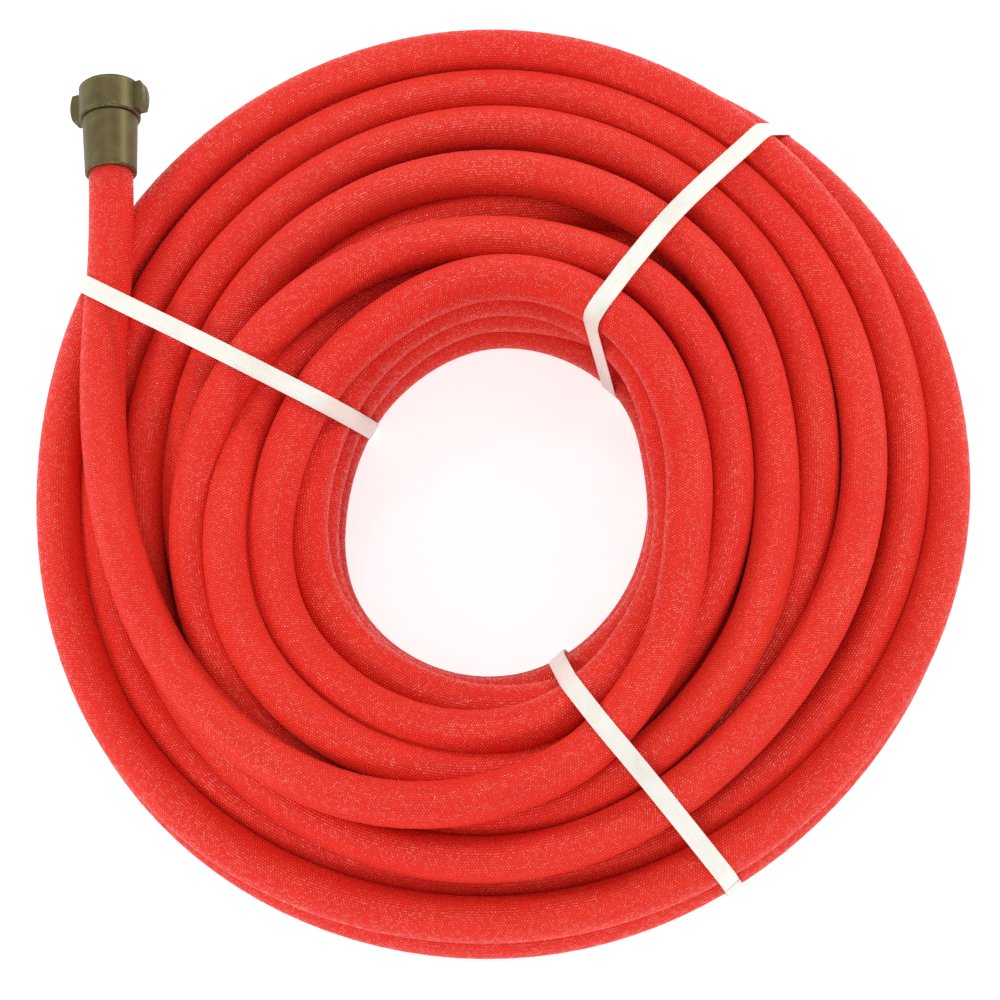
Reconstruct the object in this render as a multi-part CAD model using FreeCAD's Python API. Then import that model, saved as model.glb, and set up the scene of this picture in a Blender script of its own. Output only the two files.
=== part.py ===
import FreeCAD, Part
import math
import os

# Rolled 1-inch booster fire hose, 30.5 m long, with its two couplings and three straps.
# Millimetres, +Z up. The coil lies flat; the origin is under its middle, on the floor.
V = FreeCAD.Vector

# ---- hose ----------------------------------------------------------------------------
HOSE_R = 18.0            # outside radius of the jacket
LINER_R = 15.2           # outside radius of the rubber liner
WATERWAY_R = 12.7        # 1 inch bore

# ---- coil ----------------------------------------------------------------------------
# Radii of the coil's outlines at eight bearings, 45 degrees apart, from +X towards +Y.
OUTLINE = (372, 372, 379, 377, 372, 386, 379, 368)       # outside of the coil
MIDDLE = (297, 317, 306, 302, 305, 332, 341, 305)        # outside of the second tier
INNER = (197, 200, 200, 200, 215, 262, 264, 244)         # outside of the top tier
HOLE = (110, 117, 122, 116, 123, 154, 157, 131)          # inside of the coil
TIER_TOPS = (72.0, 104.0, 138.0)     # two, three and four strands deep
EDGE_RADIUS = 12.0
CUTTER_HEIGHT = 200.0    # taller than the coil

# The free end's centre line, from the coupling's tail to where it joins the top turn.
FREE_END = (
    (-317, 246, 80), (-313, 176, 87), (-318, 96, 91), (-315, 16, 94),
    (-301, -68, 100), (-267, -158, 105), (-206, -232, 110), (-122, -280, 115),
    (-30, -286, 119), (52, -254, 120), (92, -212, 120),
)
RUN_SHARE = 0.45         # share of the shorter run that an arc takes at each point
GAP = 0.3                # clearance between pieces that only lie against each other
CLOSE_FIT = 0.05         # clearance between pieces that fit into each other

# ---- couplings, 1 inch NH hose thread ------------------------------------------------
THREAD_PITCH = 3.175
RIDGE = (0.3, 1.2, 1.7, 2.6)         # one ridge along its pitch: root, crest, crest, root
FEMALE_MINOR_R = 15.80
FEMALE_MAJOR_R = 17.55
MALE_MAJOR_R = 17.40
MALE_MINOR_R = 15.60
BOWL_BORE_R = 18.25      # the bowl that the hose end is expanded into
BOWL_DEPTH = 34.4
GASKET_END = 37.0
SHANK_TAIL_R = 21.0
SHANK_HEAD_R = 22.5      # the female shank widens towards its swivel
TAIL_CHAMFER = 1.5
CHAMFER = 1.0            # turned edges
EDGE_BREAK = 0.6         # smaller edges
SHANK_LENGTH = 50.0
NOSE_R = 14.90           # the shank's nose, which the swivel turns on
NOSE_END = 64.3
SWIVEL_START = 50.4
SWIVEL_END = 80.0
SWIVEL_R = 25.0
SWIVEL_BORE_R = 14.98
GASKET_SEAT = 64.6
GASKET_R = 18.0
THREAD_START = 68.0
BALL_R = 1.55
BALL_GROOVE_R = 1.62
BALL_CIRCLE_R = 14.94
BALL_Z = 57.0
BALL_COUNT = 26
PLUG_R = 2.0
PLUG_INSET = 2.0         # from the ball circle to the plug's inner end
PLUG_SLOT = (3.2, 1.0, 0.6)
LUG_R = 32.5
LUG_WIDTH = 13.0
LUG_INSET = 3.0          # from the swivel's ends to its lugs
LUG_DEPTH = 13.0
LUG_CROWN = 2.2          # rise of a lug's rounded outer face
LUG_GROOVE_R = 1.6
LUG_ANGLE = -20.0        # turn of the female lugs about the coupling's axis
EXPANSION_WALL = 0.9
EXPANSION_START = 4.0
MALE_SHOULDER = 46.0     # the male shank's body ends here
MALE_THREAD_START = 50.0
MALE_THREAD_END = 63.5
MALE_RELIEF = 0.4        # depth of the neck behind the male thread
MALE_LUG_LOW = 27.0
MALE_LUG_HIGH = 43.0
MALE_LUG_WIDTH = 11.0
MALE_LUG_R = 31.0
MALE_LUG_ANGLE = -30.0
MALE_LENGTH = 66.0
FEMALE_AXIS = V(*FREE_END[0]) - V(*FREE_END[1])      # from the tail towards the mouth
MALE_BEARING = 105.0     # where the male coupling lies under the coil's outer edge
MALE_RADIUS = 356.0
MALE_HEIGHT = 25.0
POCKET_R = 33.0          # room left in the coil round the male coupling
POCKET_REACH = 160.0     # how far that room runs on past the coupling's mouth

# ---- straps --------------------------------------------------------------------------
STRAP_WIDTH = 15.0
STRAP_THICKNESS = 0.8
STRAP_CORNER = 9.0
# bearing of each strap's plane, and how far the plane passes from the coil's middle
STRAP_PLANES = ((48.2, 27.0), (151.7, 34.0), (311.8, -93.0))
FREE_END_SHOULDER = (360.0, 119.0)   # where strap 2 bends over the free end


# ---- helpers -------------------------------------------------------------------------
def outline_face(radii):
    """A smooth closed outline through eight radii, as a face on the floor."""
    points = []
    for index, radius in enumerate(radii):
        bearing = math.radians(45 * index)
        points.append(V(radius * math.cos(bearing), radius * math.sin(bearing), 0))
    curve = Part.BSplineCurve()
    curve.interpolate(Points=points, PeriodicFlag=True)
    return Part.Face(Part.Wire([curve.toShape()]))


def prism(radii, height):
    return outline_face(radii).extrude(V(0, 0, height))


def tier(radii, top):
    """One tier of the coil, with the round shoulder of its outermost strand."""
    body = prism(radii, top)
    rim = [edge for edge in body.Edges if edge.BoundBox.ZMin > top - 1]
    return body.makeFillet(EDGE_RADIUS, rim)


def turned(profile):
    """A solid of revolution about +Z from (radius, height) corners."""
    points = [V(radius, 0, height) for radius, height in profile]
    face = Part.Face(Part.makePolygon(points + points[:1]))
    return face.revolve(V(0, 0, 0), V(0, 0, 1), 360)


def ring(inner, outer, low, high):
    return turned(((inner, low), (outer, low), (outer, high), (inner, high)))


def placed(shape, tail, axis):
    """Moves a piece made about +Z: its origin to tail, +Z along axis and +Y upwards."""
    side = V(0, 0, 1).cross(axis)
    result = shape.copy()
    result.Placement = FreeCAD.Placement(tail, FreeCAD.Rotation(side, V(), axis, "ZXY"))
    return result


def thread_profile(crest, root, low, high):
    """Corners of a row of thread ridges, from low to high, at the crest and root radii."""
    corners = []
    start = low
    while start + THREAD_PITCH <= high:
        for radius, step in zip((root, crest, crest, root), RIDGE):
            corners.append((radius, start + step))
        start += THREAD_PITCH
    return corners


def rounded_path(points):
    """Straight runs joined by tangent arcs, each as large as its two runs allow."""
    corners = [V(*point) for point in points]
    edges = []
    radii = []
    start = corners[0]
    for before, corner, after in zip(corners, corners[1:], corners[2:]):
        back = before - corner
        ahead = after - corner
        reach = RUN_SHARE * min(back.Length, ahead.Length)
        turn = math.pi - back.getAngle(ahead)
        radii.append(reach / math.tan(turn / 2))
        back.normalize()
        ahead.normalize()
        first = corner + back * reach
        last = corner + ahead * reach
        inward = back + ahead
        inward.normalize()
        centre = corner + inward * (radii[-1] / math.cos(turn / 2))
        middle = centre - inward * radii[-1]
        edges.append(Part.LineSegment(start, first).toShape())
        edges.append(Part.Arc(first, middle, last).toShape())
        start = last
    edges.append(Part.LineSegment(start, corners[-1]).toShape())
    return Part.Wire(edges), radii


def tube_along(points, radius):
    path, radii = rounded_path(points)
    start = V(*points[0])
    section = Part.Wire([Part.makeCircle(radius, start, V(*points[1]) - start)])
    return path.makePipeShell([section], True, True), path, radii


# ---- coil and free end ---------------------------------------------------------------
def male_frame():
    """The male coupling's axis, and its tail where the hose enters it."""
    bearing = math.radians(MALE_BEARING)
    axis = V(-math.sin(bearing), math.cos(bearing), 0)
    middle = V(MALE_RADIUS * math.cos(bearing), MALE_RADIUS * math.sin(bearing), MALE_HEIGHT)
    return middle - axis * (MALE_LENGTH / 2), axis


def coil_envelope():
    """The coil's outer shape: three tiers, two to four strands deep, round the hole."""
    tiers = [tier(radii, top) for radii, top in zip((OUTLINE, MIDDLE, INNER), TIER_TOPS)]
    body = tiers[0].fuse(tiers[1:])
    return body.cut(prism(HOLE, CUTTER_HEIGHT)).removeSplitter()


def male_pocket():
    """The room round the male coupling, open to the floor and along its axis."""
    tail, axis = male_frame()
    width = 2 * POCKET_R
    length = MALE_LENGTH + POCKET_REACH
    pocket = Part.makeCylinder(POCKET_R, length)
    floor_gap = Part.makeBox(width, MALE_HEIGHT + 1, length, V(-POCKET_R, -MALE_HEIGHT - 1, 0))
    return placed(pocket.fuse(floor_gap), tail, axis)


def hose_coil(straps):
    body = coil_envelope()
    corridor = tube_along(FREE_END, HOSE_R + GAP)[0]
    body = body.cut(corridor)
    body = body.cut(male_pocket())
    for strap in straps:
        body = body.cut(strap)
    return body


def hose_free_end():
    tube, path, radii = tube_along(FREE_END, HOSE_R)
    print("free end arc radii:", [round(radius) for radius in radii])
    share = tube.Volume / (math.pi * HOSE_R ** 2 * path.Length)
    print("free end length", round(path.Length), "volume share", round(share, 4))
    return tube


# ---- coupling pieces, made about +Z with the tail at z = 0 ---------------------------
def ball_groove():
    return Part.makeTorus(BALL_CIRCLE_R, BALL_GROOVE_R, V(0, 0, BALL_Z))


def female_shank():
    body = turned((
        (BOWL_BORE_R, 0), (SHANK_TAIL_R - TAIL_CHAMFER, 0), (SHANK_TAIL_R, TAIL_CHAMFER),
        (SHANK_HEAD_R, SHANK_LENGTH - CHAMFER), (SHANK_HEAD_R - CHAMFER, SHANK_LENGTH),
        (NOSE_R, SHANK_LENGTH), (NOSE_R, NOSE_END - EDGE_BREAK), (NOSE_R - EDGE_BREAK, NOSE_END),
        (WATERWAY_R, NOSE_END), (WATERWAY_R, GASKET_END), (BOWL_BORE_R, GASKET_END),
    ))
    return body.cut(ball_groove())


def rocker_lug(outer_r, low, high, width):
    """One rocker lug on +X: a block whose outer face is rounded along the axis."""
    middle = (low + high) / 2
    foot = outer_r - LUG_DEPTH
    edge = outer_r - LUG_CROWN
    outline = Part.Wire([
        Part.LineSegment(V(foot, 0, low), V(edge, 0, low)).toShape(),
        Part.Arc(V(edge, 0, low), V(outer_r, 0, middle), V(edge, 0, high)).toShape(),
        Part.LineSegment(V(edge, 0, high), V(foot, 0, high)).toShape(),
        Part.LineSegment(V(foot, 0, high), V(foot, 0, low)).toShape(),
    ])
    block = Part.Face(outline).extrude(V(0, width, 0))
    block.translate(V(0, -width / 2, 0))
    groove = Part.makeCylinder(LUG_GROOVE_R, high - low + 2, V(outer_r + GAP, 0, low - 1))
    return block.cut(groove)


def lug_pair(outer_r, low, high, width, angle):
    lugs = []
    for turn in (angle, angle + 180):
        lug = rocker_lug(outer_r, low, high, width)
        lug.rotate(V(0, 0, 0), V(0, 0, 1), turn)
        lugs.append(lug)
    return lugs


def plug_hole(radius, inner):
    """The ball race's filling hole, square to the axis, on the underside."""
    length = SWIVEL_R + 1 - inner
    return Part.makeCylinder(radius, length, V(0, -inner, BALL_Z), V(0, -1, 0))


def female_swivel():
    blank = turned((
        (SWIVEL_BORE_R, SWIVEL_START), (SWIVEL_R - CHAMFER, SWIVEL_START), (SWIVEL_R, SWIVEL_START + CHAMFER),
        (SWIVEL_R, SWIVEL_END - CHAMFER), (SWIVEL_R - CHAMFER, SWIVEL_END), (SWIVEL_BORE_R, SWIVEL_END),
    ))
    lugs = lug_pair(LUG_R, SWIVEL_START + LUG_INSET, SWIVEL_END - LUG_INSET, LUG_WIDTH, LUG_ANGLE)
    cavity = [(0, GASKET_SEAT), (GASKET_R, GASKET_SEAT), (GASKET_R, THREAD_START)]
    cavity += [(FEMALE_MINOR_R, THREAD_START)]
    cavity += thread_profile(FEMALE_MAJOR_R, FEMALE_MINOR_R, THREAD_START, SWIVEL_END)
    cavity += [(FEMALE_MINOR_R, SWIVEL_END - EDGE_BREAK), (FEMALE_MAJOR_R, SWIVEL_END + 1), (0, SWIVEL_END + 1)]
    body = blank.fuse(lugs).cut(turned(cavity)).cut(ball_groove())
    return body.cut(plug_hole(PLUG_R + CLOSE_FIT, BALL_CIRCLE_R))


def female_bearing_balls():
    balls = []
    for index in range(BALL_COUNT):
        angle = 2 * math.pi * index / BALL_COUNT
        centre = V(BALL_CIRCLE_R * math.cos(angle), BALL_CIRCLE_R * math.sin(angle), BALL_Z)
        balls.append(Part.makeSphere(BALL_R, centre))
    return Part.makeCompound(balls)


def female_race_plug():
    start = BALL_CIRCLE_R + PLUG_INSET
    plug = Part.makeCylinder(PLUG_R, SWIVEL_R - GAP - start, V(0, -start, BALL_Z), V(0, -1, 0))
    width, depth, height = PLUG_SLOT
    slot = Part.makeBox(width, depth, height, V(-width / 2, -SWIVEL_R, BALL_Z - height / 2))
    return plug.cut(slot)


def swivel_gasket():
    return ring(WATERWAY_R + CLOSE_FIT, GASKET_R - CLOSE_FIT, GASKET_SEAT, THREAD_START - CLOSE_FIT)


def tail_gasket():
    return ring(WATERWAY_R, BOWL_BORE_R, BOWL_DEPTH, GASKET_END)


def expansion_ring():
    return ring(WATERWAY_R - EXPANSION_WALL, WATERWAY_R, EXPANSION_START, BOWL_DEPTH)


def hose_liner_end():
    return ring(WATERWAY_R, LINER_R, 0, BOWL_DEPTH)


def hose_jacket_end():
    return ring(LINER_R, HOSE_R, 0, BOWL_DEPTH)


def male_shank():
    neck_r = MALE_MINOR_R - MALE_RELIEF
    profile = [
        (BOWL_BORE_R, 0), (SHANK_TAIL_R - TAIL_CHAMFER, 0), (SHANK_TAIL_R, TAIL_CHAMFER),
        (SHANK_TAIL_R, MALE_SHOULDER - CHAMFER), (SHANK_TAIL_R - CHAMFER, MALE_SHOULDER),
        (neck_r, MALE_SHOULDER), (neck_r, MALE_THREAD_START - MALE_RELIEF), (MALE_MINOR_R, MALE_THREAD_START),
    ]
    profile += thread_profile(MALE_MAJOR_R, MALE_MINOR_R, MALE_THREAD_START, MALE_THREAD_END)
    profile += [
        (MALE_MINOR_R, MALE_LENGTH - CHAMFER), (MALE_MINOR_R - CHAMFER, MALE_LENGTH),
        (WATERWAY_R, MALE_LENGTH), (WATERWAY_R, GASKET_END), (BOWL_BORE_R, GASKET_END),
    ]
    lugs = lug_pair(MALE_LUG_R, MALE_LUG_LOW, MALE_LUG_HIGH, MALE_LUG_WIDTH, MALE_LUG_ANGLE)
    bowl = Part.makeCylinder(BOWL_BORE_R + 1, MALE_LENGTH)
    return turned(profile).fuse([lug.cut(bowl) for lug in lugs])


# ---- straps --------------------------------------------------------------------------
def reaches(radii, bearing, offset):
    """How far a strap's two edges run before they cross an outline, nearer one first."""
    outline = outline_face(radii)
    outline.rotate(V(0, 0, 0), V(0, 0, 1), -bearing)
    found = []
    for edge in (offset - STRAP_WIDTH / 2, offset + STRAP_WIDTH / 2):
        line = Part.LineSegment(V(0, edge, 0), V(2 * max(radii), edge, 0)).toShape()
        found.append(max(vertex.X for vertex in outline.common(line).Vertexes))
    return sorted(found)


def band(corners):
    """A closed band of the strap's thickness round the given (reach, height) corners."""
    points = [V(reach, 0, height) for reach, height in corners]
    loop = []
    count = len(points)
    for index in range(count):
        before, corner, after = points[index - 1], points[index], points[(index + 1) % count]
        back = (before - corner).normalize()
        ahead = (after - corner).normalize()
        turn = math.pi - back.getAngle(ahead)
        cut = STRAP_CORNER * math.tan(turn / 2)
        inward = (back + ahead).normalize()
        centre = corner + inward * (STRAP_CORNER / math.cos(turn / 2))
        loop.append((corner + back * cut, centre - inward * STRAP_CORNER, corner + ahead * cut))
    edges = []
    for index in range(count):
        first, middle, last = loop[index]
        edges.append(Part.Arc(first, middle, last).toShape())
        edges.append(Part.LineSegment(last, loop[(index + 1) % count][0]).toShape())
    inner = Part.Wire(edges)
    outer = inner.makeOffset2D(STRAP_THICKNESS)
    return Part.Face(outer).cut(Part.Face(inner)).extrude(V(0, STRAP_WIDTH, 0))


def strap(number):
    bearing, offset = STRAP_PLANES[number - 1]
    lift = STRAP_THICKNESS
    hole = reaches(HOLE, bearing, offset)[0] - GAP
    outside = reaches(OUTLINE, bearing, offset)[1] + GAP
    second = reaches(MIDDLE, bearing, offset)[1] - EDGE_RADIUS / 2
    shoulder = reaches(INNER, bearing, offset)[1] + GAP
    low, high = TIER_TOPS[0] + GAP, TIER_TOPS[2] + GAP
    corners = [(hole, lift), (outside, lift), (outside, low)]
    corners.append(FREE_END_SHOULDER if number == 2 else (second, TIER_TOPS[1] + GAP))
    corners += [(shoulder, high), (hole, high)]
    shape = band(corners)
    shape.translate(V(0, offset - STRAP_WIDTH / 2, 0))
    shape.rotate(V(0, 0, 0), V(0, 0, 1), bearing)
    return shape


# ---- all pieces ----------------------------------------------------------------------
def main():
    os.makedirs("parts", exist_ok=True)
    straps = [strap(number) for number in (1, 2, 3)]
    pieces = {"hose_coil": hose_coil(straps), "hose_free_end": hose_free_end()}
    for number, shape in enumerate(straps, 1):
        pieces["strap_%d" % number] = shape
    female_tail = V(*FREE_END[0])
    male_tail, male_axis = male_frame()
    female_pieces = {
        "female_shank": female_shank(),
        "female_swivel": female_swivel(),
        "female_bearing_balls": female_bearing_balls(),
        "female_race_plug": female_race_plug(),
        "female_swivel_gasket": swivel_gasket(),
        "female_tail_gasket": tail_gasket(),
        "female_expansion_ring": expansion_ring(),
        "female_hose_liner": hose_liner_end(),
        "female_hose_jacket": hose_jacket_end(),
    }
    male_pieces = {
        "male_shank": male_shank(),
        "male_tail_gasket": tail_gasket(),
        "male_expansion_ring": expansion_ring(),
        "male_hose_liner": hose_liner_end(),
        "male_hose_jacket": hose_jacket_end(),
    }
    for name, shape in female_pieces.items():
        pieces[name] = placed(shape, female_tail, FEMALE_AXIS)
    for name, shape in male_pieces.items():
        pieces[name] = placed(shape, male_tail, male_axis)
    for name, shape in pieces.items():
        box = shape.BoundBox
        print(name, shape.isValid(), len(shape.Solids), round(shape.Volume),
              [round(value, 1) for value in (box.XMin, box.YMin, box.ZMin, box.XMax, box.YMax, box.ZMax)])
        shape.exportStep("parts/%s.step" % name)


main()
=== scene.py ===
import math

import bpy
import numpy as np
from mathutils import Matrix, Vector


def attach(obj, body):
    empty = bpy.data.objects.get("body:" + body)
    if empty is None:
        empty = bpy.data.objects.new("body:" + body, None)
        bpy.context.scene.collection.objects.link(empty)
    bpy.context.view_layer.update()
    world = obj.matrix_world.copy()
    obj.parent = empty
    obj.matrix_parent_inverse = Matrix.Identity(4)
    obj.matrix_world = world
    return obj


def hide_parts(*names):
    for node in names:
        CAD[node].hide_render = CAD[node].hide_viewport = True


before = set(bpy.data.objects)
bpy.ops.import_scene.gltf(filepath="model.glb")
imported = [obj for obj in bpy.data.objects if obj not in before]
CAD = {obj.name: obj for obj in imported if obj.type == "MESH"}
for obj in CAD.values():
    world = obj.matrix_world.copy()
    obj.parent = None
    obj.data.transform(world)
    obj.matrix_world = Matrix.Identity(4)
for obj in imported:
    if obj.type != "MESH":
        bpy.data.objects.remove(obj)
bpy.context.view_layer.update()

# Looks of the rolled booster hose: the real turns of hose, the straps, and every material.
# All in metres and in the CAD's own frame, but routes, windings and strap planes are in mm.
MM = 0.001

# ---- camera --------------------------------------------------------------------------
VIEW_TILT = math.radians(18)        # from straight down, towards the near side
VIEW_DISTANCE = 3.0
VIEW_TARGET = Vector((-0.0036, -0.0278, 0.075))
LENS, SENSOR = 137.6, 36.0
NEAR_CLIP, FAR_CLIP = 0.05, 50

# ---- hose ----------------------------------------------------------------------------
HOSE_R = 0.018
RING_SIDES = 36
SPLINE_STEPS = 5                    # rings of the tube between two control points
# The free end's route from part.py, from the coupling's tail to the top turn.
FREE_END = (
    (-317, 246, 80), (-313, 176, 87), (-318, 96, 91), (-315, 16, 94),
    (-301, -68, 100), (-267, -158, 105), (-206, -232, 110), (-122, -280, 115),
    (-30, -286, 119), (52, -254, 120), (92, -212, 120),
)
# The male end's last points, in line with its coupling.
MALE_END = ((-12, 365.3, 25), (-60.3, 352.4, 25))

# ---- winding -------------------------------------------------------------------------
# Each visible turn runs anticlockwise from +X and ends one place further out or in.
# Its radius and height every 45 degrees, with the neighbours' values at both ends.
VISIBLE_TURNS = {
    "first": ((185, 142, 139, 141, 142, 171, 225, 224, 162, 129, 134),
              (120, 120, 120, 120, 117, 112, 105, 96, 90, 86, 86)),
    "sixth": ((205, 176, 165, 161, 167, 197, 249, 247, 203, 177, 182),
              (86, 86, 86, 88, 99, 111, 105, 88, 103, 112, 106)),
    "fifth": ((203, 177, 182, 180, 197, 237, 284, 287, 244, 211, 226),
              (103, 112, 106, 100, 104, 99, 85, 84, 94, 94, 94)),
    "fourth": ((244, 211, 226, 241, 247, 254, 272, 288, 261, 246, 267),
               (94, 94, 94, 92, 83, 65, 55, 54, 70, 86, 86)),
    "third": ((261, 246, 267, 288, 284, 287, 314, 318, 283, 281, 299),
              (70, 86, 86, 86, 85, 82, 80, 84, 86, 81, 78)),
    "second": ((283, 281, 299, 324, 321, 318, 336, 323, 314, 318, 332),
               (86, 81, 78, 74, 72, 67, 60, 50, 52, 60, 78)),
    "outer": ((314, 318, 332, 358, 359, 350, 367, 357, 345, 350, 353),
              (52, 60, 78, 74, 60, 52, 52, 52, 52, 52, 50)),
}
# Where the free end joins the top turn, and where the outer turn dives to the male end.
LEAD_IN = ((307.5, 202, 120), (322.5, 172, 120), (337.5, 153, 120), (352.5, 144, 120))
LEAD_OUT = ((7.5, 350, 52), (22.5, 353, 52), (37.5, 355, 50), (52.5, 357, 46),
            (67.5, 359, 40), (82.5, 363, 30))
# Hidden turns: how far out each lies, from 0 at the hole to 1 at the rim, and its height.
BOTTOM, MIDDLE, UPPER = 18, 52, 86
RIM_LANE = (1.0, BOTTOM)
RIM_SHOWS = 190                     # the outermost bottom turn peeps out from here on
HIDDEN_TURNS = (
    (0.0, UPPER), (0.0, MIDDLE), (0.0, BOTTOM), (0.2, BOTTOM), (0.4, BOTTOM), (0.6, BOTTOM),
    (0.8, BOTTOM), RIM_LANE, (0.65, MIDDLE), (0.5, MIDDLE), (0.34, MIDDLE), (0.17, MIDDLE),
)
# One hidden turn is wedged up between the fourth and fifth turns, between these bearings.
WEDGED_TURN = (0.5, MIDDLE)
WEDGE = (55, 90, 125, 160)
WEDGE_RISE, WEDGE_SHIFT = 20, -14
# Rings every 45 degrees: the hole's wall, and the outermost bottom turn.
HOLE = (110, 117, 122, 116, 123, 154, 157, 131)
RIM = (354, 354, 360, 359, 354, 368, 363, 350)
STATIONS = 24                       # control points in a turn
STATION_START = 7.5
# The bottom turns draw in behind the male coupling, between these bearings.
DRAW_IN = (50, 90, 118, 152)
DRAW_IN_DEPTH = 36
MALE_BEARING, MALE_RADIUS, MALE_HEIGHT = 105, 356, 25
MALE_HALF_SPAN, MALE_CLEARANCE = 8, 42
LANE_CHANGE = (5, 85)               # bearings between which a hidden turn changes lane
SETTLE_ROUNDS = 400
TOUCHING = 35.0                     # turns are pressed this close together
SIXTH_SHOWS = 125                   # the sixth turn comes out from under the first here
OFF_SIGHT = 0.04                    # share of a push that moves a turn in the picture
SEEN_WEIGHT = 0.2                   # how readily a turn on top gives way to a hidden one
PUSH_STEP, SMOOTHING = 0.5, 0.125   # of one round of settling
TINY = 1e-6
SPLINE_SLACK = 0.0001               # how far inside its circle a spline stays, as a share


def camera():
    data = bpy.data.cameras.new("camera")
    data.lens, data.sensor_width = LENS, SENSOR
    data.clip_start, data.clip_end = NEAR_CLIP, FAR_CLIP
    obj = bpy.data.objects.new("camera", data)
    bpy.context.scene.collection.objects.link(obj)
    back = Vector((0, -math.sin(VIEW_TILT), math.cos(VIEW_TILT)))
    obj.location = VIEW_TARGET + back * VIEW_DISTANCE
    obj.rotation_mode = "QUATERNION"
    obj.rotation_quaternion = (-back).to_track_quat("-Z", "Y")
    bpy.context.scene.camera = obj


# ---- the hose's route ----------------------------------------------------------------
def between(values, place):
    """A smooth curve through values at places 0, 1, 2, ..., read at fractional places."""
    values = np.asarray(values, float)
    last = len(values) - 1
    low = np.clip(np.floor(place).astype(int), 0, last - 1)
    t = place - low
    a, b = values[np.maximum(low - 1, 0)], values[low]
    c, d = values[low + 1], values[np.minimum(low + 2, last)]
    cubic = (2 * a - 5 * b + 4 * c - d) * t ** 2 + (3 * b - a - 3 * c + d) * t ** 3
    return 0.5 * (2 * b + (c - a) * t + cubic)


def ring_at(radii, bearings):
    closed = radii[-2:] + radii + radii[:3]
    return between(closed, np.asarray(bearings, float) % 360 / 45 + 2)


def ease(x):
    x = np.clip(x, 0, 1)
    return x * x * (3 - 2 * x)


def plateau(bearings, span):
    """Rises from 0 to 1 between the first two bearings of span and falls between the others."""
    start, full, ebb, end = span
    return ease((bearings - start) / (full - start)) * ease((end - bearings) / (end - ebb))


TURN_BEARINGS = np.arange(STATIONS) * 360 / STATIONS + STATION_START


def visible_turn(name):
    radii, heights = VISIBLE_TURNS[name]
    place = TURN_BEARINGS / 45 + 1
    return between(radii, place), between(heights, place)


def hidden_turns():
    """Each turn leaves the lane before it in the first quarter, where none of it shows."""
    inner, outer = ring_at(HOLE, TURN_BEARINGS) + BOTTOM, ring_at(RIM, TURN_BEARINGS)
    outer = outer - plateau(TURN_BEARINGS, DRAW_IN) * DRAW_IN_DEPTH
    wedged = plateau(TURN_BEARINGS, WEDGE)
    start, end = LANE_CHANGE
    share = ease((TURN_BEARINGS - start) / (end - start))
    turns = []
    before = HIDDEN_TURNS[0]
    for turn in HIDDEN_TURNS:
        lane = before[0] + (turn[0] - before[0]) * share
        height = before[1] + (turn[1] - before[1]) * share
        rise, shift = (WEDGE_RISE, WEDGE_SHIFT) if turn == WEDGED_TURN else (0, 0)
        turns.append((inner + (outer - inner) * lane + wedged * shift, height + wedged * rise))
        before = turn
    return turns


def stations():
    """Radius, height and bearing of every control point of the coil, and whether it shows."""
    rows = [(r, z, b, True) for b, r, z in LEAD_IN]

    def add(turn, shows_from):
        for r, z, b in zip(turn[0], turn[1], TURN_BEARINGS):
            rows.append((r, z, b, b > shows_from))

    add(visible_turn("first"), 0)
    for lane, turn in zip(HIDDEN_TURNS, hidden_turns()):
        add(turn, RIM_SHOWS if lane == RIM_LANE else 360)
    add(visible_turn("sixth"), SIXTH_SHOWS)
    for name in ("fifth", "fourth", "third", "second", "outer"):
        add(visible_turn(name), 0)
    rows += [(r, z, b, True) for b, r, z in LEAD_OUT]
    table = np.array(rows, float)
    return table[:, 0], table[:, 1], table[:, 2], table[:, 3] > 0.5


def push_apart(r, z, weight, reach, fixed=()):
    """How far each strand of one cross-section moves so that none is inside another."""
    dr, dz = r[:, None] - r[None], z[:, None] - z[None]
    apart = np.hypot(dr, dz)
    np.fill_diagonal(apart, np.inf)
    push = np.maximum(reach - apart, 0) / apart * weight[:, None] / (weight[:, None] + weight[None])
    move_r, move_z = (push * dr).sum(1), (push * dz).sum(1)
    for fixed_r, fixed_z, clear in fixed:
        dr, dz = r - fixed_r, z - fixed_z
        apart = np.maximum(np.hypot(dr, dz), TINY)
        push = np.maximum(clear - apart, 0) / apart
        move_r += push * dr
        move_z += push * dz
    return move_r, move_z


def obstacles(bearing):
    """What a strand goes round at this bearing: the free end on top and the male coupling."""
    found = []
    ends = np.array(FREE_END, float)
    along = np.degrees(np.arctan2(ends[:, 1], ends[:, 0])) % 360
    if along[0] <= bearing <= along[-1]:
        radius = np.interp(bearing, along, np.hypot(ends[:, 0], ends[:, 1]))
        found.append((radius, np.interp(bearing, along, ends[:, 2]), TOUCHING))
    away = math.radians(bearing - MALE_BEARING)
    if abs(away) < math.radians(MALE_HALF_SPAN):
        found.append((MALE_RADIUS / math.cos(away), MALE_HEIGHT, MALE_CLEARANCE))
    return found


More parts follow.
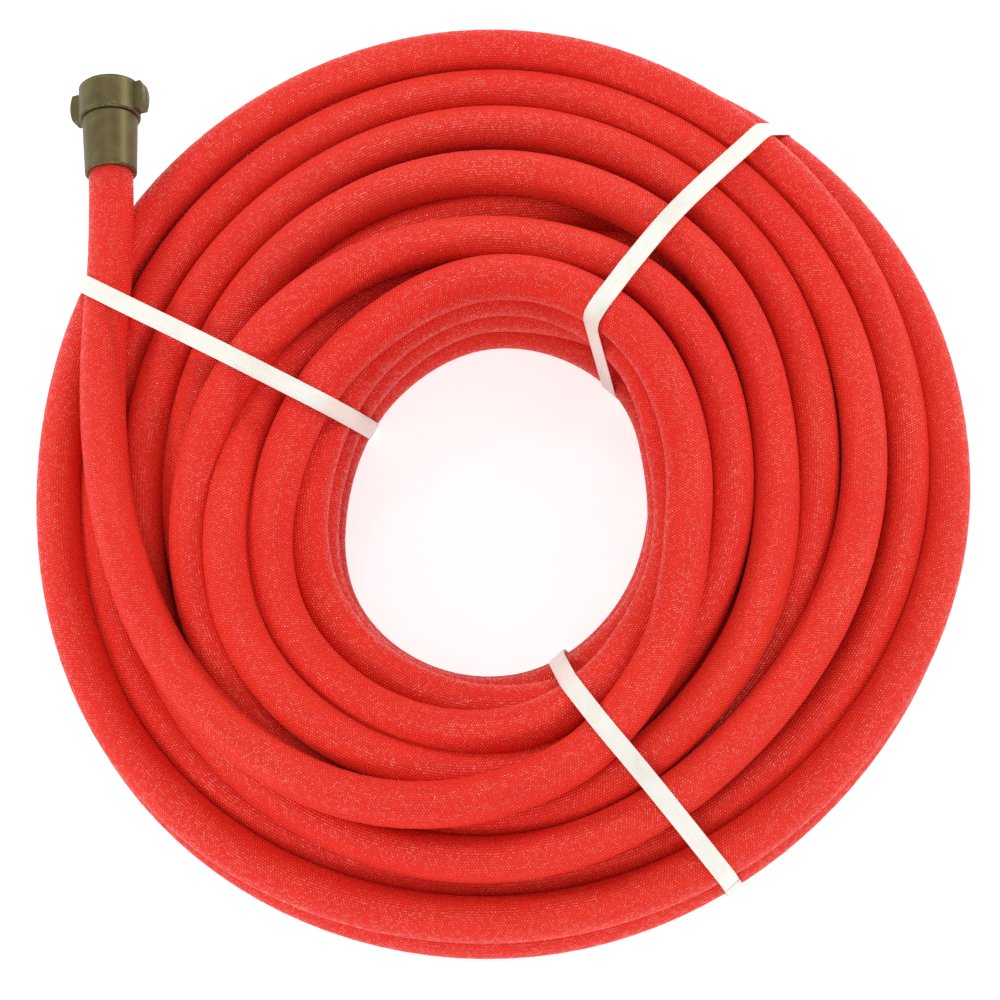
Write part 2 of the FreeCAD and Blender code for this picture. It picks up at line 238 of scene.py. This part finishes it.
def settle(r, z, bearings, seen):
    """Presses the strands apart until they lie against each other.
    Those on top move along the line of sight, so the coil's pattern stays."""
    start_r, start_z = r.copy(), z.copy()
    slope = math.tan(VIEW_TILT)
    rad = np.radians(bearings)
    sight_r, sight_z = -slope * np.sin(rad), np.ones(len(r))
    size = np.hypot(sight_r, sight_z)
    sight_r, sight_z = sight_r / size, sight_z / size
    groups = [(np.where(bearings == b)[0], obstacles(b)) for b in TURN_BEARINGS]
    weight = np.where(seen, SEEN_WEIGHT, 1.0)
    on_floor = seen & (start_z < MIDDLE / 2)
    inner, outer = ring_at(HOLE, bearings) + BOTTOM, ring_at(RIM, bearings)
    lean = np.maximum(-np.sin(rad), 0) * slope
    dr, dz = np.zeros(len(r)), np.zeros(len(r))
    for _ in range(SETTLE_ROUNDS):
        move_r, move_z = np.zeros(len(r)), np.zeros(len(r))
        for members, fixed in groups:
            now_r, now_z = (start_r + dr)[members], (start_z + dz)[members]
            moved = push_apart(now_r, now_z, weight[members], TOUCHING, fixed)
            move_r[members], move_z[members] = moved
        along = move_r * sight_r + move_z * sight_z
        move_r = np.where(seen, along * sight_r * (1 - OFF_SIGHT) + move_r * OFF_SIGHT, move_r)
        move_z = np.where(seen, along * sight_z * (1 - OFF_SIGHT) + move_z * OFF_SIGHT, move_z)
        dr += PUSH_STEP * move_r
        dz += PUSH_STEP * move_z
        for shift in (dr, dz):
            shift[1:-1] += SMOOTHING * (shift[:-2] / 2 + shift[2:] / 2 - shift[1:-1])
        dz = np.where(on_floor, 0, np.maximum(dz, BOTTOM - start_z))
        dr += np.maximum(inner + lean * (start_z + dz - BOTTOM) - start_r - dr, 0)
        dr -= np.where(seen, 0, np.maximum(start_r + dr - outer, 0))
        for shift in (dr, dz):
            shift[:2] = 0
            shift[-2:] = 0
    return start_r + dr, start_z + dz


def hose_route():
    """Control points of the whole hose, from the female coupling to the male one, in metres."""
    r, z, bearings, seen = stations()
    r, z = settle(r, z, bearings, seen)
    # a spline cuts inside the circle that its control points lie on
    half_step = math.pi / STATIONS
    r = r / ((1 + math.cos(half_step)) / 2 + SPLINE_SLACK)
    rad = np.radians(bearings)
    coil = np.stack([r * np.cos(rad), r * np.sin(rad), z], 1)
    points = np.vstack([np.array(FREE_END, float), coil, np.array(MALE_END, float)])
    return points * MM


def route_line(points):
    """The smooth line that those control points give."""
    curve = bpy.data.curves.new("hose_line", "CURVE")
    curve.dimensions = "3D"
    curve.resolution_u = SPLINE_STEPS
    spline = curve.splines.new("NURBS")
    spline.points.add(len(points) - 1)
    for point, place in zip(spline.points, points):
        point.co = (*place, 1)
    spline.order_u = 3
    spline.use_endpoint_u = True
    obj = bpy.data.objects.new("hose_line", curve)
    mesh = bpy.data.meshes.new_from_object(obj)
    line = np.array([v.co for v in mesh.vertices])
    bpy.data.objects.remove(obj)
    bpy.data.curves.remove(curve)
    bpy.data.meshes.remove(mesh)
    return line


# ---- meshes --------------------------------------------------------------------------
def new_object(name, verts, faces, uvs=None, material=None):
    """A smooth-shaded mesh; uvs holds one (u, v) for every corner of every face."""
    mesh = bpy.data.meshes.new(name)
    mesh.from_pydata([tuple(v) for v in verts], [], faces)
    if uvs is not None:
        layer = mesh.uv_layers.new(name="run")
        layer.data.foreach_set("uv", np.asarray(uvs, float).ravel())
    mesh.polygons.foreach_set("use_smooth", [True] * len(mesh.polygons))
    if material:
        mesh.materials.append(material)
    mesh.update()
    obj = bpy.data.objects.new(name, mesh)
    bpy.context.scene.collection.objects.link(obj)
    return obj


def tube_frames(line):
    """Unit vectors to the side and upwards along a line that never stands upright."""
    tangent = np.gradient(line, axis=0)
    tangent /= np.linalg.norm(tangent, axis=1)[:, None]
    side = np.cross(tangent, (0, 0, 1))
    side /= np.linalg.norm(side, axis=1)[:, None]
    return side, np.cross(side, tangent)


def tube(name, line, radius, sides):
    """A tube whose uv runs in metres along it and from 0 to 1 round it."""
    side, up = tube_frames(line)
    angle = np.arange(sides) * 2 * math.pi / sides
    cos, sin = np.cos(angle)[None, :, None], np.sin(angle)[None, :, None]
    ring = cos * side[:, None] + sin * up[:, None]
    verts = (line[:, None] + radius * ring).reshape(-1, 3)
    run = np.concatenate([[0], np.cumsum(np.linalg.norm(np.diff(line, axis=0), axis=1))])
    faces, uvs = [], []
    for k in range(len(line) - 1):
        for s in range(sides):
            t = (s + 1) % sides
            faces.append((k * sides + s, k * sides + t, (k + 1) * sides + t, (k + 1) * sides + s))
            low, high = s / sides, (s + 1) / sides
            uvs += [(run[k], low), (run[k], high), (run[k + 1], high), (run[k + 1], low)]
    last = (len(line) - 1) * sides
    faces += [tuple(range(sides))[::-1], tuple(range(last, last + sides))]
    uvs += [(0.0, 0.0)] * (2 * sides)
    return new_object(name, verts, faces, uvs)


camera()
route = hose_route()
line = route_line(route)
hose = tube("hose", line, HOSE_R, RING_SIDES)
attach(hose, "hose")
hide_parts("hose_coil", "hose_free_end")

# ---- straps --------------------------------------------------------------------------
# Bearing of each strap in degrees; how far its top lies from the coil's middle, in mm, over
# the hole's wall, half-way and over the rim; and how much nearer its foot lies, at both walls.
STRAP_PLANES = (
    (48.2, (17, 34, 35), (37, 11)),
    (151.7, (40, 40.5, 42.5), (38, 40)),
    (311.8, (-91, -97.5, -104), (-36, -22)),
)
STRAP_WIDTH, STRAP_THICKNESS = 0.015, 0.0008
STRAP_REACH = (0.12, 0.36)          # from the hole's wall to the rim
STRAP_HEIGHT = 0.14
STRAP_EDGE = 0.0002                 # the strap's rounded edge
WELD_LENGTH, WELD_HEIGHT = 0.032, 0.030
WELD_WALL = 0.02                    # the outer wall is what lies this near the loop's far end
HALF_COIL = 0.05                    # a strap ties only what lies further out than this
LOOP_STEP = 0.003
STRAP_GAP = 0.0001                  # between the strap and the hose, and above the floor
CONTACT_STEP = math.radians(6)
MIDDLE_FIRST = 0.01                 # of the points on the floor, a loop starts at its middle one
FACES_DOWN = -0.5                   # an outward normal that points lower than this faces the floor


def sideways(lie, reach, height):
    """How far a strap lies from the coil's middle, at a reach and height along it."""
    top, drop = lie
    near, far = STRAP_REACH
    out = np.clip((reach - near) / (far - near), 0, 1)
    down = 1 - np.clip(height / STRAP_HEIGHT, 0, 1)
    return (between(top, 2 * out) - down * (drop[0] + (drop[1] - drop[0]) * out)) * MM


def crossings(path, normal, lie, shift, outwards):
    """Where the hose goes under a strap: centres and tangents."""
    side = path @ normal - sideways(lie, path @ outwards, path[:, 2]) - shift
    hits = np.where(side[:-1] * side[1:] < 0)[0]
    share = (side[hits] / (side[hits] - side[hits + 1]))[:, None]
    centre = path[hits] * (1 - share) + path[hits + 1] * share
    tangent = path[hits + 1] - path[hits]
    tangent /= np.linalg.norm(tangent, axis=1)[:, None]
    front = centre @ outwards > HALF_COIL
    return centre[front], tangent[front]


def hull(points):
    """Convex hull of points in a plane, anticlockwise."""
    points = sorted(set(map(tuple, np.round(points, 6))))

    def chain(run):
        kept = []
        for p in run:
            while len(kept) > 1:
                a, b = kept[-2], kept[-1]
                if (b[0] - a[0]) * (p[1] - a[1]) - (b[1] - a[1]) * (p[0] - a[0]) > 0:
                    break
                kept.pop()
            kept.append(p)
        return kept[:-1]

    return np.array(chain(points) + chain(points[::-1]))


def strap_loop(path, bearing, lie):
    """The taut line of a strap round the turns it ties, as (reach, height) points."""
    angle = math.radians(bearing)
    outwards = np.array((math.cos(angle), math.sin(angle), 0))
    normal = np.array((-math.sin(angle), math.cos(angle), 0))
    found = []
    for shift in (-STRAP_WIDTH / 2, 0, STRAP_WIDTH / 2):
        centre, tangent = crossings(path, normal, lie, shift, outwards)
        for c, t in zip(centre, tangent):
            side = np.cross(t, (0, 0, 1))
            side /= np.linalg.norm(side)
            up = np.cross(side, t)
            for turn in np.arange(0, 2 * math.pi, CONTACT_STEP):
                out = (HOSE_R + STRAP_GAP) * (math.cos(turn) * side + math.sin(turn) * up)
                out = out - t * (out @ normal) / (t @ normal)
                found.append(((c + out) @ outwards, (c + out)[2]))
    return hull(found), outwards, normal


def resampled(loop, spacing):
    """A closed loop with points at even distances, starting under the coil."""
    start = np.argmin(loop[:, 1] + abs(loop[:, 0] - loop[:, 0].mean()) * MIDDLE_FIRST)
    loop = np.roll(loop, -start, axis=0)
    closed = np.vstack([loop, loop[:1]])
    run = np.concatenate([[0], np.cumsum(np.linalg.norm(np.diff(closed, axis=0), axis=1))])
    places = np.linspace(0, run[-1], int(run[-1] / spacing), endpoint=False)
    return np.stack([np.interp(places, run, closed[:, k]) for k in (0, 1)], 1)


def band(name, loop, outwards, normal, lie, lift, material, closed=True):
    """A flat band of the strap's width along a loop, its inner face lifted off the hose."""
    ahead = np.roll(loop, -1, axis=0) - np.roll(loop, 1, axis=0)
    if not closed:
        ahead = np.gradient(loop, axis=0)
    ahead /= np.linalg.norm(ahead, axis=1)[:, None]
    out = np.stack([ahead[:, 1], -ahead[:, 0]], 1)
    half, edge, thick = STRAP_WIDTH / 2, STRAP_EDGE, STRAP_THICKNESS
    profile = (
        (-half + edge, 0), (-half, edge), (-half, thick - edge), (-half + edge, thick),
        (-half / 3, thick), (half / 3, thick), (half - edge, thick), (half, thick - edge),
        (half, edge), (half - edge, 0),
    )
    verts, faces, uvs = [], [], []
    for (reach, height), (out_s, out_z) in zip(loop, out):
        for across, rise in profile:
            s, z = reach + out_s * (lift + rise), height + out_z * (lift + rise)
            floor_gap = STRAP_GAP + (thick - rise if out_z < FACES_DOWN else 0)
            z = max(z, floor_gap)
            aside = sideways(lie, s, z) + across
            verts.append(outwards * s + normal * aside + np.array((0, 0, z)))
    run = np.concatenate([[0], np.cumsum(np.linalg.norm(np.diff(loop, axis=0), axis=1))])
    run = np.append(run, run[-1] + np.linalg.norm(loop[0] - loop[-1]))
    count, rows = len(profile), len(loop)
    for k in range(rows if closed else rows - 1):
        n = (k + 1) % rows
        for s in range(count):
            t = (s + 1) % count
            faces.append((k * count + s, n * count + s, n * count + t, k * count + t))
            low, high = profile[s][0], profile[t][0]
            uvs += [(run[k], low), (run[k + 1], low), (run[k + 1], high), (run[k], high)]
    if not closed:
        faces += [tuple(range(count)), tuple(range((rows - 1) * count, rows * count))[::-1]]
        uvs += [(0.0, 0.0)] * (2 * count)
    return new_object(name, verts, faces, uvs, material)


def weld_tail(name, loop, outwards, normal, lie, material):
    """The strap's other end, welded over itself on the coil's outer wall."""
    wall = [k for k in range(len(loop)) if loop[k][0] > loop[:, 0].max() - WELD_WALL]
    middle = min(wall, key=lambda k: abs(loop[k][1] - WELD_HEIGHT))
    span = int(WELD_LENGTH / 2 / np.linalg.norm(loop[middle + 1] - loop[middle]))
    part = loop[middle - span: middle + span]
    return band(name, part, outwards, normal, lie, STRAP_THICKNESS, material, closed=False)


def straps(path, material):
    for number, (bearing, *lie) in enumerate(STRAP_PLANES, 1):
        loop, outwards, normal = strap_loop(path, bearing, lie)
        loop = resampled(loop, LOOP_STEP)
        node = "strap_%d" % number
        strap = band(node + "_band", loop, outwards, normal, lie, STRAP_GAP, material)
        tail = weld_tail(node + "_weld", loop, outwards, normal, lie, material)
        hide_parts(node)
        for piece in (strap, tail):
            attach(piece, "hose")


# ---- materials -----------------------------------------------------------------------
class Paint:
    """A new material, with short calls that add and join its nodes."""

    def __init__(self, name, **sockets):
        self.material = bpy.data.materials.new(name)
        self.material.use_nodes = True
        self.tree = self.material.node_tree
        self.shader = self.tree.nodes["Principled BSDF"]
        for key, value in sockets.items():
            self.shader.inputs[key.replace("_", " ")].default_value = value

    def node(self, kind, inputs=None, **settings):
        made = self.tree.nodes.new("ShaderNode" + kind)
        for key, value in settings.items():
            setattr(made, key, value)
        for key, value in (inputs or {}).items():
            self.join(value, made.inputs[key])
        return made

    def join(self, value, socket):
        if isinstance(value, bpy.types.NodeSocket):
            self.tree.links.new(value, socket)
        else:
            socket.default_value = value

    def calc(self, operation, a, b=0.0, c=0.0):
        inputs = {0: a, 1: b}
        if operation == "MULTIPLY_ADD":
            inputs[2] = c
        return self.node("Math", inputs, operation=operation).outputs[0]

    def mix(self, share, low, high):
        made = self.node("Mix", data_type="RGBA")
        share_in, low_in, high_in = made.inputs[0], made.inputs[6], made.inputs[7]
        for socket, value in ((share_in, share), (low_in, low), (high_in, high)):
            self.join((*value, 1.0) if isinstance(value, tuple) else value, socket)
        return made.outputs[2]

    def scaled(self, value, from_low, from_high, to_low, to_high):
        inputs = {0: value, 1: from_low, 2: from_high, 3: to_low, 4: to_high}
        return self.node("MapRange", inputs).outputs[0]

    def noise(self, vector, scale, detail=2.0, roughness=0.5):
        inputs = {"Vector": vector, "Scale": scale, "Detail": detail, "Roughness": roughness}
        return self.node("TexNoise", inputs).outputs["Fac"]

    def vector(self, x, y, z=0.0):
        return self.node("CombineXYZ", {0: x, 1: y, 2: z}).outputs[0]

    def parts(self, vector):
        return self.node("SeparateXYZ", {0: vector}).outputs[:3]

    def place(self):
        return self.node("TexCoord").outputs["Object"]

    def run(self):
        """Along and across the piece, from the uv map that its mesh was made with."""
        return self.parts(self.node("UVMap", uv_map="run").outputs[0])[:2]

    def set(self, **sockets):
        for key, value in sockets.items():
            self.join(value, self.shader.inputs[key.replace("_", " ")])

    def bump(self, height, distance, strength=1.0, below=None):
        inputs = {"Height": height, "Distance": distance, "Strength": strength}
        if below is not None:
            inputs["Normal"] = below
        return self.node("Bump", inputs).outputs[0]


WEFT_PITCH = 0.0022                 # one pick of the jacket's weave along the hose
WARP_ENDS = 54                      # warp ends round the jacket
DIAMOND = 0.0012                    # the straps' embossing
# Base colours, linear: where each material is darkest and palest, then its marks; the jacket's
# marks include painted shade in the gaps between stitches and painted pale glints.
REDS = ((0.90, 0.014, 0.003), (0.94, 0.028, 0.006))
RED_STREAK, RED_GAP_SHADE, RED_PAINTED_GLINT = (0.82, 0.010, 0.003), (0.54, 0.006, 0.003), (1.0, 0.27, 0.20)
RED_ENDS = ((0.45, 0.010, 0.008), (0.84, 0.050, 0.035))
IVORIES, IVORY_SOIL = ((0.77, 0.745, 0.67), (0.875, 0.86, 0.80)), (0.62, 0.54, 0.42)
OLIVES = ((0.100, 0.078, 0.029), (0.142, 0.112, 0.046))
OLIVE_LATHE, OLIVE_WORN = (0.100, 0.078, 0.032), (0.42, 0.38, 0.28)
STEELS = ((0.50, 0.50, 0.50), (0.66, 0.66, 0.65))
BRASSES = ((0.62, 0.42, 0.16), (0.78, 0.57, 0.26))
GASKETS = ((0.012, 0.012, 0.012), (0.035, 0.034, 0.032))
LININGS = ((0.020, 0.019, 0.018), (0.050, 0.047, 0.044))
FLOORS = ((0.48, 0.48, 0.48), (0.52, 0.52, 0.52))


def jacket():
    """Red woven polyester: picks staggered from end to end, some of their threads glossy and tipped
    with painted pale glints, with painted shade in the gaps between stitches.
    """
    p = Paint("red_woven_jacket", Sheen_Weight=0.03, Sheen_Roughness=0.35, Specular_IOR_Level=0.32)
    along, around = p.run()
    ends = p.calc("MULTIPLY", around, WARP_ENDS)
    picks = p.calc("MULTIPLY_ADD", p.calc("FLOOR", ends), 0.5, p.calc("DIVIDE", along, WEFT_PITCH))
    across_wave = p.calc("ABSOLUTE", p.calc("SINE", p.calc("MULTIPLY", picks, math.pi)))
    round_wave = p.calc("ABSOLUTE", p.calc("SINE", p.calc("MULTIPLY", ends, math.pi)))
    stitch = p.calc("MULTIPLY", across_wave, p.scaled(round_wave, 0.0, 1.0, 0.35, 1.0))
    cell = p.vector(p.calc("FLOOR", picks), p.calc("FLOOR", ends))
    thread = p.node("TexWhiteNoise", {"Vector": cell}, noise_dimensions="3D").outputs["Value"]
    place = p.place()
    broad = p.noise(place, 7.0, 3.0)
    stretched = p.vector(p.calc("MULTIPLY", along, 9.0), p.calc("MULTIPLY", around, 14.0))
    streaks = p.noise(stretched, 1.0, 4.0)
    # random patches where the jacket's painted glints are stronger
    wear_and_glint_patches = p.scaled(p.noise(place, 14.0, 5.0, 0.6), 0.50, 0.70, 0.0, 1.0)
    red = p.mix(p.scaled(broad, 0.35, 0.65, 0.0, 1.0), *REDS)
    red = p.mix(p.scaled(streaks, 0.35, 0.7, 0.0, 0.6), red, RED_STREAK)
    # painted shade: the red darkens in the gaps between stitches, where shade falls
    red = p.mix(p.scaled(stitch, 0.0, 0.7, 0.70, 0.0), red, RED_GAP_SHADE)
    glossy = p.scaled(thread, 0.40, 1.0, 0.0, 1.0)
    # painted glints: pale pink on glossy threads at the stitches' crests
    painted_glint = p.calc("MULTIPLY", glossy, p.scaled(stitch, 0.4, 0.9, 0.0, 1.0))
    painted_glint = p.calc("MULTIPLY", painted_glint, p.scaled(wear_and_glint_patches, 0.0, 1.0, 0.28, 0.60))
    red = p.mix(painted_glint, red, RED_PAINTED_GLINT)
    rough = p.scaled(glossy, 0.0, 1.0, 0.60, 0.18)
    height = p.calc("MULTIPLY_ADD", thread, 0.7, stitch)
    swell = p.bump(p.noise(place, 60.0, 2.0), 0.0012, 0.5)
    p.set(Base_Color=red, Roughness=rough, Normal=p.bump(height, 0.0008, 0.8, swell))
    return p.material


def strapping():
    """Ivory polypropylene strapping, embossed with fine diamonds."""
    p = Paint("ivory_strapping", Coat_Weight=0.15, Coat_Roughness=0.3)
    along, across = p.run()
    rise = p.calc("MULTIPLY", p.calc("ADD", along, across), math.pi / DIAMOND)
    fall = p.calc("MULTIPLY", p.calc("SUBTRACT", along, across), math.pi / DIAMOND)
    diamond = p.calc("MULTIPLY", p.calc("SINE", rise), p.calc("SINE", fall))
    stretched = p.vector(p.calc("MULTIPLY", along, 40.0), p.calc("MULTIPLY", across, 2600.0))
    fibres = p.noise(stretched, 1.0, 3.0)
    soil = p.noise(p.place(), 26.0, 5.0, 0.6)
    tone = p.mix(p.scaled(fibres, 0.3, 0.7, 0.0, 1.0), *IVORIES)
    tone = p.mix(p.scaled(soil, 0.52, 0.75, 0.0, 0.35), tone, IVORY_SOIL)
    rough = p.scaled(fibres, 0.3, 0.7, 0.34, 0.50)
    height = p.calc("MULTIPLY_ADD", diamond, 0.5, fibres)
    p.set(Base_Color=tone, Roughness=rough, Normal=p.bump(height, 0.00012, 0.8))
    return p.material


def upright_frame(axis):
    """Turn of the frame that a coupling was drawn in: +Z along its axis, +Y upwards."""
    axis = Vector(axis).normalized()
    side = Vector((0, 0, 1)).cross(axis).normalized()
    up = axis.cross(side)
    turn = [[side[k], up[k], axis[k]] for k in range(3)]
    return Matrix(turn).to_euler("XYZ")


FEMALE_TAIL = Vector(FREE_END[0]) * MM
FEMALE_AXIS = Vector(FREE_END[0]) - Vector(FREE_END[1])
MALE_TAIL = Vector(MALE_END[1]) * MM
MALE_AXIS = Vector(MALE_END[1]) - Vector(MALE_END[0])
# Heights along each coupling's axis where its edges are worn bare, and its lugs' radii.
FEMALE_EDGES = (0.0008, 0.0495, 0.0509, 0.0533, 0.0770, 0.0795)
MALE_EDGES = (0.0008, 0.0270, 0.0430, 0.0455, 0.0655)
LUG_CROWNS = (0.0300, 0.0325)
WEAR_REACH = 0.0022


def anodised(name, tail, axis, edges):
    """Olive hard-anodised aluminium, turned on a lathe, rubbed bare along its edges."""
    p = Paint(name, Metallic=0.50, Specular_IOR_Level=0.20)
    turn = upright_frame(axis)
    inputs = {"Vector": p.place(), "Location": tuple(tail), "Rotation": tuple(turn)}
    local = p.node("Mapping", inputs, vector_type="TEXTURE").outputs[0]
    x, y, z = p.parts(local)
    lathe = p.noise(p.vector(0.0, 0.0, p.calc("MULTIPLY", z, 2600.0)), 1.0, 3.0)
    cloud = p.noise(local, 90.0, 4.0)
    pits = p.noise(local, 1400.0, 2.0)
    chips = p.noise(local, 420.0, 5.0, 0.7)
    near = None
    for edge in edges:
        away = p.calc("ABSOLUTE", p.calc("SUBTRACT", z, edge))
        reach = p.scaled(away, 0.0, WEAR_REACH, 1.0, 0.0)
        near = reach if near is None else p.calc("MAXIMUM", near, reach)
    radius = p.calc("SQRT", p.calc("ADD", p.calc("MULTIPLY", x, x), p.calc("MULTIPLY", y, y)))
    near = p.calc("MAXIMUM", near, p.scaled(radius, *LUG_CROWNS, 0.0, 0.9))
    wear_and_glint_patches = p.calc("MULTIPLY_ADD", chips, 0.9, p.calc("MULTIPLY", near, 0.3))
    worn = p.scaled(wear_and_glint_patches, 0.70, 0.92, 0.0, 0.5)
    olive = p.mix(p.scaled(cloud, 0.35, 0.65, 0.0, 1.0), *OLIVES)
    olive = p.mix(p.scaled(lathe, 0.3, 0.7, 0.0, 0.35), olive, OLIVE_LATHE)
    tone = p.mix(worn, olive, OLIVE_WORN)
    dull, turned = p.scaled(cloud, 0.3, 0.7, 0.40, 0.50), p.scaled(lathe, 0.3, 0.7, -0.05, 0.05)
    rough = p.calc("ADD", dull, turned)
    rough = p.calc("SUBTRACT", rough, p.calc("MULTIPLY", worn, 0.12))
    fine = p.bump(pits, 0.00006, 0.5)
    p.set(Base_Color=tone, Roughness=rough, Normal=p.bump(lathe, 0.00006, 0.7, fine))
    return p.material


def metal(name, low, high, roughness):
    """Plain turned metal: brass or bearing steel."""
    p = Paint(name, Metallic=1.0)
    place = p.place()
    cloud, grain = p.noise(place, 160.0, 4.0), p.noise(place, 1800.0, 2.0)
    tone = p.mix(p.scaled(cloud, 0.35, 0.65, 0.0, 1.0), low, high)
    rough = p.scaled(grain, 0.3, 0.7, roughness - 0.06, roughness + 0.08)
    p.set(Base_Color=tone, Roughness=rough, Normal=p.bump(grain, 0.00004, 0.5))
    return p.material


def rubber(name, low, high):
    """Moulded black rubber with a little bloom."""
    p = Paint(name, Specular_IOR_Level=0.4)
    place = p.place()
    bloom, grain = p.noise(place, 120.0, 5.0), p.noise(place, 2200.0, 2.0)
    tone = p.mix(p.scaled(bloom, 0.4, 0.7, 0.0, 1.0), low, high)
    rough = p.scaled(grain, 0.3, 0.7, 0.55, 0.75)
    p.set(Base_Color=tone, Roughness=rough, Normal=p.bump(grain, 0.0001, 0.6))
    return p.material


def cut_jacket():
    """The jacket's end inside a coupling's bowl."""
    p = Paint("red_jacket_end", Sheen_Weight=0.12)
    grain = p.noise(p.place(), 900.0, 3.0)
    tone = p.mix(grain, *RED_ENDS)
    rough = p.scaled(grain, 0.3, 0.7, 0.5, 0.7)
    p.set(Base_Color=tone, Roughness=rough, Normal=p.bump(grain, 0.0004, 0.8))
    return p.material


def dress(names, material):
    for name in names:
        mesh = CAD[name].data
        mesh.materials.clear()
        mesh.materials.append(material)


def dress_cad():
    female = anodised("olive_anodised_female", FEMALE_TAIL, FEMALE_AXIS, FEMALE_EDGES)
    male = anodised("olive_anodised_male", MALE_TAIL, MALE_AXIS, MALE_EDGES)
    dress(("female_shank", "female_swivel"), female)
    dress(("male_shank",), male)
    steel = metal("bearing_steel", *STEELS, 0.2)
    dress(("female_bearing_balls", "female_race_plug"), steel)
    brass = metal("ring_brass", *BRASSES, 0.3)
    dress(("female_expansion_ring", "male_expansion_ring"), brass)
    seal = rubber("gasket_rubber", *GASKETS)
    dress(("female_swivel_gasket", "female_tail_gasket", "male_tail_gasket"), seal)
    lining = rubber("liner_rubber", *LININGS)
    dress(("female_hose_liner", "male_hose_liner"), lining)
    dress(("female_hose_jacket", "male_hose_jacket"), cut_jacket())


# ---- floor and light -----------------------------------------------------------------
FLOOR_HALF, FLOOR_DROP = 6, 0.0002
TENT_LOW, TENT_HIGH = 1.05, 0.70    # strength at the horizon and overhead
TENT_TOP = 0.9                      # the sky's upward slope where it is at its overhead strength
# Each lamp's place, the width of its disk and its power in watts.
LAMPS = {
    "key": ((2.2, 2.1, 1.3), 0.6, 34),
    "left": ((-2.9, 0.3, 1.3), 0.6, 26),
    "front": ((0.6, -2.9, 1.3), 0.6, 22),
    "top": ((-0.65, 1.5, 2.8), 0.4, 9),
}


def floor():
    p = Paint("pale_floor", Specular_IOR_Level=0.2)
    grain = p.noise(p.place(), 30.0, 3.0)
    p.set(Base_Color=p.mix(grain, *FLOORS), Roughness=0.8)
    p.set(Emission_Color=(1.0, 1.0, 1.0, 1.0), Emission_Strength=0.72)
    half = FLOOR_HALF
    corners = [(-half, -half, 0), (half, -half, 0), (half, half, 0), (-half, half, 0)]
    obj = new_object("floor", corners, [(0, 1, 2, 3)], None, p.material)
    obj.location.z = -FLOOR_DROP


def area_light(name, place, size, power):
    """A round lamp that shines at the coil."""
    data = bpy.data.lights.new(name, "AREA")
    data.shape = "DISK"
    data.size, data.energy = size, power
    obj = bpy.data.objects.new(name, data)
    obj.location = place
    obj.rotation_mode = "QUATERNION"
    obj.rotation_quaternion = (-Vector(place)).to_track_quat("-Z", "Y")
    bpy.context.scene.collection.objects.link(obj)


def light():
    """A pale tent, brighter low down than overhead, with three lamps round it and one above."""
    world = bpy.data.worlds.new("studio")
    world.use_nodes = True
    tree = world.node_tree
    up = tree.nodes.new("ShaderNodeSeparateXYZ")
    tree.links.new(tree.nodes.new("ShaderNodeTexCoord").outputs["Generated"], up.inputs[0])
    shade = tree.nodes.new("ShaderNodeMapRange")
    for socket, value in zip(shade.inputs[1:5], (0.0, TENT_TOP, TENT_LOW, TENT_HIGH)):
        socket.default_value = value
    tree.links.new(up.outputs[2], shade.inputs[0])
    background = tree.nodes["Background"]
    background.inputs[0].default_value = (1.0, 1.0, 1.0, 1)
    tree.links.new(shade.outputs[0], background.inputs[1])
    bpy.context.scene.world = world
    for name, (place, size, power) in LAMPS.items():
        area_light(name, place, size, power)
    bpy.context.scene.view_settings.view_transform = "Standard"


hose.data.materials.append(jacket())
straps(line, strapping())
dress_cad()
floor()
light()
